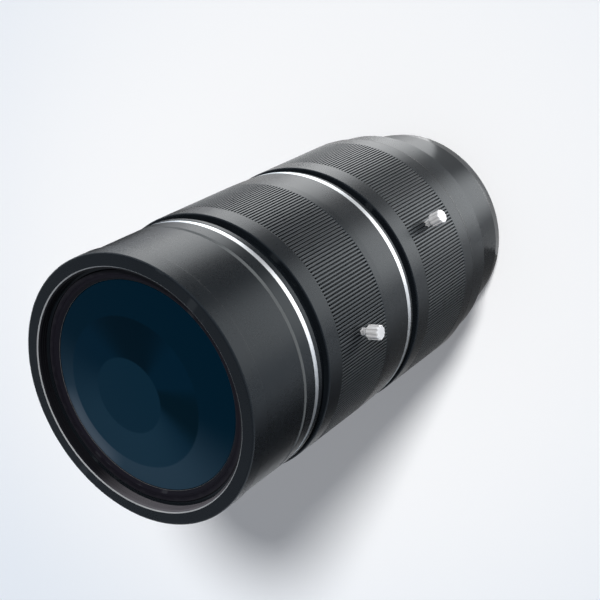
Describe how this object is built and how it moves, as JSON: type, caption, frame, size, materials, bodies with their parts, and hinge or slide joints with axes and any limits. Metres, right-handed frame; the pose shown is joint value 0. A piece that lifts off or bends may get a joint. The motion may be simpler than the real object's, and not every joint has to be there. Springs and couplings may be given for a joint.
{
  "type": "machine vision lens",
  "caption": "Black cylindrical machine vision lens with knurled focus and iris rings, thumb lock screws, a filter thread in front and a male mounting thread behind.",
  "frame": {"origin": "on the optical axis, in the flange face that meets the camera", "axes": "+Z along the optical axis, towards the front glass; -Y through the focus lock screw"},
  "size_m": [0.076, 0.0817, 0.1505],
  "materials": {
    "black_anodised": "satin black anodised",
    "black_inner": "matte black inside finish",
    "bright_aluminium": "bright turned",
    "coated_glass": "polished, coated",
    "nickel_steel": "nickel plated",
    "plain_steel": "plain",
    "dark_steel": "blued",
    "brass": "turned"
  },
  "bodies": {
    "barrel": {"rear_mount": "black_anodised", "mount_grub_screws": "plain_steel", "main_barrel": "black_anodised", "guide_keys": "brass", "key_screws": "plain_steel", "focus_retainer": "black_inner"},
    "optics": {"nose_shell": "black_anodised", "nose_bright_ring": "bright_aluminium", "nose_trim_collar": "black_anodised", "lens_barrel": "black_inner", "front_retaining_ring": "black_inner", "glass_front": "coated_glass", "second_retaining_ring": "black_inner", "glass_second": "coated_glass", "third_retaining_ring": "black_inner", "glass_third": "coated_glass", "glass_fourth": "coated_glass", "iris_housing": "black_inner", "iris_cover": "black_inner", "rear_cell": "black_inner", "fourth_retaining_ring": "black_inner", "glass_fifth": "coated_glass", "glass_sixth": "coated_glass", "glass_rear": "coated_glass", "rear_retaining_ring": "black_inner"},
    "focus_ring": {"focus_ring": "black_anodised", "focus_bright_ring": "bright_aluminium"},
    "iris_ring": {"iris_ring": "black_anodised", "iris_drive_pin": "plain_steel"},
    "iris_cam": {"iris_cam_ring": "dark_steel"},
    "focus_lock_screw": {"focus_lock_screw": "nickel_steel", "focus_lock_shoe": "brass"},
    "iris_lock_screw": {"iris_lock_screw": "nickel_steel", "iris_lock_shoe": "brass"},
    "iris_blade_1": {"iris_blade_1": "dark_steel"},
    "iris_blade_2": {"iris_blade_2": "dark_steel"},
    "iris_blade_3": {"iris_blade_3": "dark_steel"},
    "iris_blade_4": {"iris_blade_4": "dark_steel"},
    "iris_blade_5": {"iris_blade_5": "dark_steel"},
    "iris_blade_6": {"iris_blade_6": "dark_steel"},
    "iris_blade_7": {"iris_blade_7": "dark_steel"},
    "iris_blade_8": {"iris_blade_8": "dark_steel"}
  },
  "joints": [
    {"name": "focus_turn", "type": "hinge", "parent": "barrel", "child": "focus_ring", "pos_m": [0, 0, 0.091], "axis": [0, 0, 1], "range_deg": [0, 150]},
    {"name": "focus_slide", "type": "slide", "parent": "barrel", "child": "optics", "axis": [0, 0, 1], "range_m": [0, 0.006]},
    {"name": "iris_turn", "type": "hinge", "parent": "barrel", "child": "iris_ring", "pos_m": [0, 0, 0.0474], "axis": [0, 0, 1], "range_deg": [0, 32]},
    {"name": "iris_cam_turn", "type": "hinge", "parent": "optics", "child": "iris_cam", "pos_m": [0, 0, 0.0704], "axis": [0, 0, 1], "range_deg": [0, 32]},
    {"name": "iris_blade_1_swing", "type": "hinge", "parent": "optics", "child": "iris_blade_1", "pos_m": [0.0245, 0, 0.0725], "axis": [0, 0, 1], "range_deg": [0, 26]},
    {"name": "iris_blade_2_swing", "type": "hinge", "parent": "optics", "child": "iris_blade_2", "pos_m": [0.01732, 0.01732, 0.0725], "axis": [0, 0, 1], "range_deg": [0, 26]},
    {"name": "iris_blade_3_swing", "type": "hinge", "parent": "optics", "child": "iris_blade_3", "pos_m": [0, 0.0245, 0.0725], "axis": [0, 0, 1], "range_deg": [0, 26]},
    {"name": "iris_blade_4_swing", "type": "hinge", "parent": "optics", "child": "iris_blade_4", "pos_m": [-0.01732, 0.01732, 0.0725], "axis": [0, 0, 1], "range_deg": [0, 26]},
    {"name": "iris_blade_5_swing", "type": "hinge", "parent": "optics", "child": "iris_blade_5", "pos_m": [-0.0245, 0, 0.0725], "axis": [0, 0, 1], "range_deg": [0, 26]},
    {"name": "iris_blade_6_swing", "type": "hinge", "parent": "optics", "child": "iris_blade_6", "pos_m": [-0.01732, -0.01732, 0.0725], "axis": [0, 0, 1], "range_deg": [0, 26]},
    {"name": "iris_blade_7_swing", "type": "hinge", "parent": "optics", "child": "iris_blade_7", "pos_m": [0, -0.0245, 0.0725], "axis": [0, 0, 1], "range_deg": [0, 26]},
    {"name": "iris_blade_8_swing", "type": "hinge", "parent": "optics", "child": "iris_blade_8", "pos_m": [0.01732, -0.01732, 0.0725], "axis": [0, 0, 1], "range_deg": [0, 26]},
    {"name": "focus_lock_screw_turn", "type": "hinge", "parent": "focus_ring", "child": "focus_lock_screw", "pos_m": [0, -0.04, 0.0955], "axis": [0, 1, 0], "range_deg": [0, 360]},
    {"name": "iris_lock_screw_turn", "type": "hinge", "parent": "iris_ring", "child": "iris_lock_screw", "pos_m": [0.0169, -0.03625, 0.0485], "axis": [-0.4226, 0.9063, 0], "range_deg": [0, 360]}
  ],
  "couplings": [
    {"joint": "focus_turn", "follows": "focus_slide", "rad_per_m": 436.33},
    {"joint": "iris_cam_turn", "follows": "iris_turn", "ratio": 1},
    {"joint": "iris_blade_1_swing", "follows": "iris_turn", "ratio": 0.8125},
    {"joint": "iris_blade_2_swing", "follows": "iris_turn", "ratio": 0.8125},
    {"joint": "iris_blade_3_swing", "follows": "iris_turn", "ratio": 0.8125},
    {"joint": "iris_blade_4_swing", "follows": "iris_turn", "ratio": 0.8125},
    {"joint": "iris_blade_5_swing", "follows": "iris_turn", "ratio": 0.8125},
    {"joint": "iris_blade_6_swing", "follows": "iris_turn", "ratio": 0.8125},
    {"joint": "iris_blade_7_swing", "follows": "iris_turn", "ratio": 0.8125},
    {"joint": "iris_blade_8_swing", "follows": "iris_turn", "ratio": 0.8125}
  ]
}
